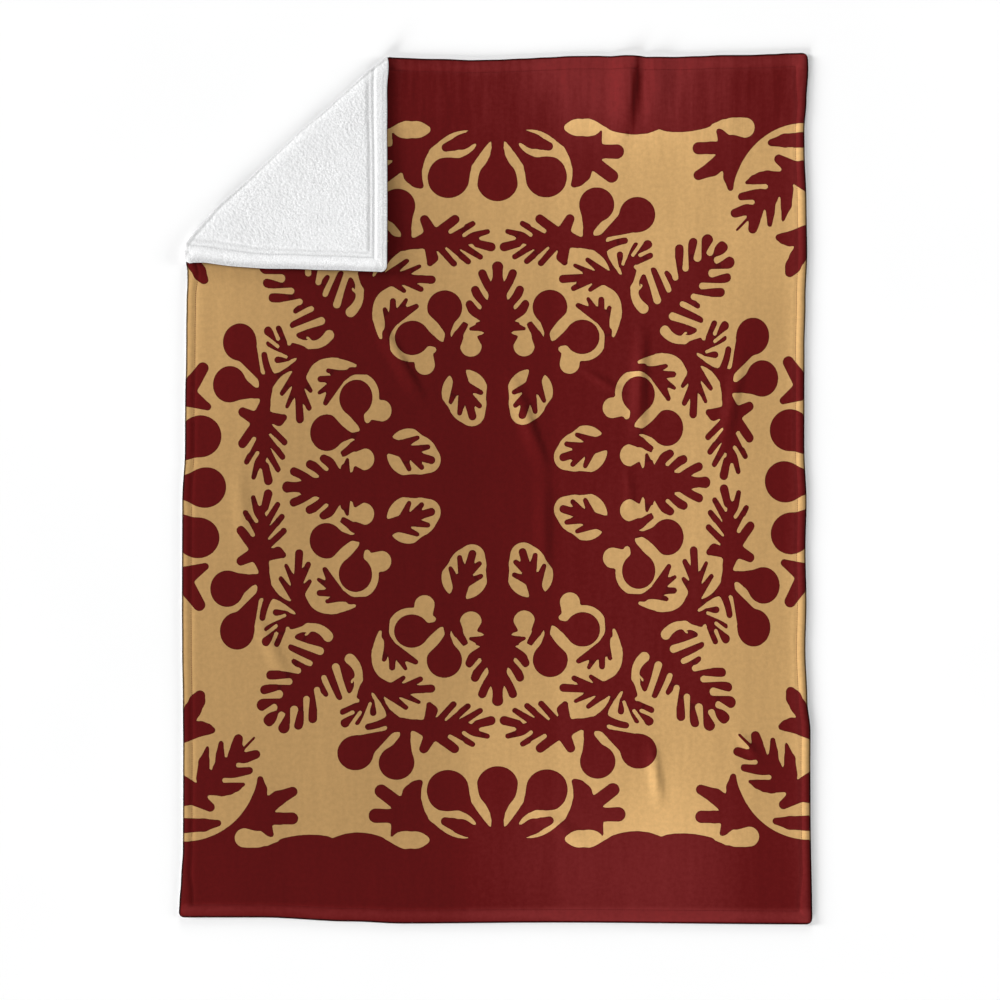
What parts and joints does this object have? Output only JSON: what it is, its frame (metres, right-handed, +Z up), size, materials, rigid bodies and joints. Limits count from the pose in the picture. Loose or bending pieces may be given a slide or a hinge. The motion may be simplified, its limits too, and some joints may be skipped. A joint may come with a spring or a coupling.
{
  "type": "throw quilt",
  "caption": "Two-layer throw quilt lying flat, leaf-and-fruit printed face on a white fleece back, one corner turned over.",
  "frame": {"origin": "on the surface that the quilt lies on, under the middle of its bounding box", "axes": "+Z up out of the printed face, +Y along the length towards the edge with the turned corner, +X across the width, away from the turned corner"},
  "size_m": [1.1026, 1.5308, 0.0203],
  "materials": {
    "face_fleece": "short brushed plush, printed in crimson on gold",
    "back_fleece": "soft curly white pile, matte"
  },
  "bodies": {
    "root": {"face_panel": "face_fleece", "back_panel": "back_fleece"}
  },
  "joints": []
}
